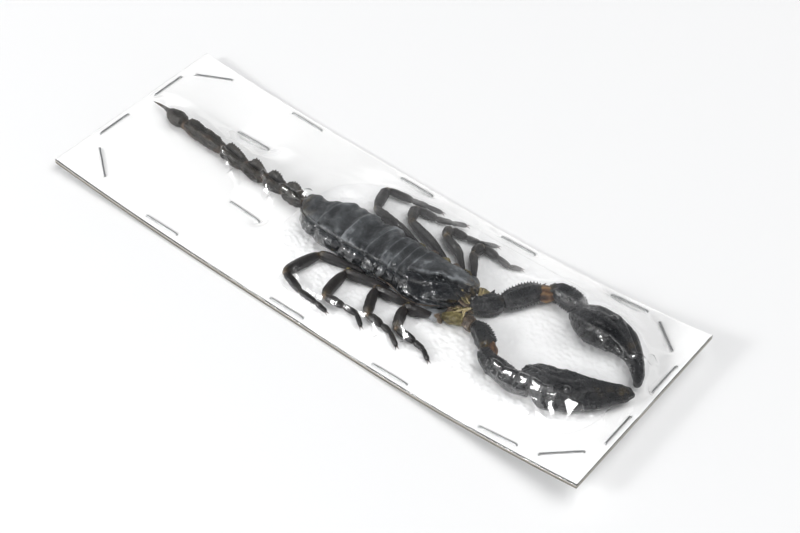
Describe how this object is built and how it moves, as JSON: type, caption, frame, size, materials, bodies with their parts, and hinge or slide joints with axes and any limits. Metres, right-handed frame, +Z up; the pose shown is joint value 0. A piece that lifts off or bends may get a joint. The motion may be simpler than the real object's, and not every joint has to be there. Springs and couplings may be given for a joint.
{
  "type": "dried scorpion specimen",
  "caption": "Large dark dried scorpion laid flat on white wadding on a bowed white card, under a clear film held by wire staples round the edge.",
  "frame": {"origin": "middle of the card's flat underside, on the surface that it rests on", "axes": "+X along the card towards the claws, +Y towards the animal's left, +Z up out of the card's face"},
  "size_m": [0.2, 0.07, 0.0183],
  "materials": {
    "white_card": "matt white-faced board with a grey-beige cut edge",
    "wadding": "soft white fibre wadding, slightly lumpy",
    "clear_film": "thin glossy clear film, creased where it is stretched",
    "staple_wire": "bright zinc-coated wire",
    "body_cuticle": "near-black dried cuticle, satin, with a cool sheen and fine wrinkles",
    "tail_cuticle": "dull dark grey-brown dried cuticle",
    "limb_cuticle": "dark brown-black dried cuticle, satin to glossy",
    "joint_membrane": "dried tan and gold joint membrane"
  },
  "bodies": {
    "root": {"card": "white_card", "wadding": "wadding", "cover_film": "clear_film", "staple_01": "staple_wire", "staple_02": "staple_wire", "staple_03": "staple_wire", "staple_04": "staple_wire", "staple_05": "staple_wire", "staple_06": "staple_wire", "staple_07": "staple_wire", "staple_08": "staple_wire", "staple_09": "staple_wire", "staple_10": "staple_wire", "staple_11": "staple_wire", "staple_12": "staple_wire", "staple_13": "staple_wire", "staple_14": "staple_wire", "staple_15": "staple_wire", "staple_16": "staple_wire", "staple_17": "staple_wire", "staple_18": "staple_wire", "prosoma": "body_cuticle", "body_segment_1": "body_cuticle", "body_segment_2": "body_cuticle", "body_segment_3": "body_cuticle", "body_segment_4": "body_cuticle", "body_segment_5": "body_cuticle", "body_segment_6": "body_cuticle", "body_segment_7": "body_cuticle", "tail_segment_1": "tail_cuticle", "tail_segment_2": "tail_cuticle", "tail_segment_3": "tail_cuticle", "tail_segment_4": "tail_cuticle", "tail_segment_5": "tail_cuticle", "telson": "tail_cuticle", "right_leg_1": "limb_cuticle", "right_leg_2": "limb_cuticle", "right_leg_3": "limb_cuticle", "right_leg_4": "limb_cuticle", "left_leg_1": "limb_cuticle", "left_leg_2": "limb_cuticle", "left_leg_3": "limb_cuticle", "left_leg_4": "limb_cuticle", "right_palp_trochanter": "limb_cuticle", "right_palp_femur": "limb_cuticle", "right_palp_patella": "limb_cuticle", "right_palp_hand": "limb_cuticle", "right_palp_finger": "limb_cuticle", "left_palp_trochanter": "limb_cuticle", "left_palp_femur": "limb_cuticle", "left_palp_patella": "limb_cuticle", "left_palp_hand": "limb_cuticle", "left_palp_finger": "limb_cuticle", "right_chelicera": "limb_cuticle", "left_chelicera": "limb_cuticle", "right_palp_coxa": "joint_membrane", "left_palp_coxa": "joint_membrane"}
  },
  "joints": []
}
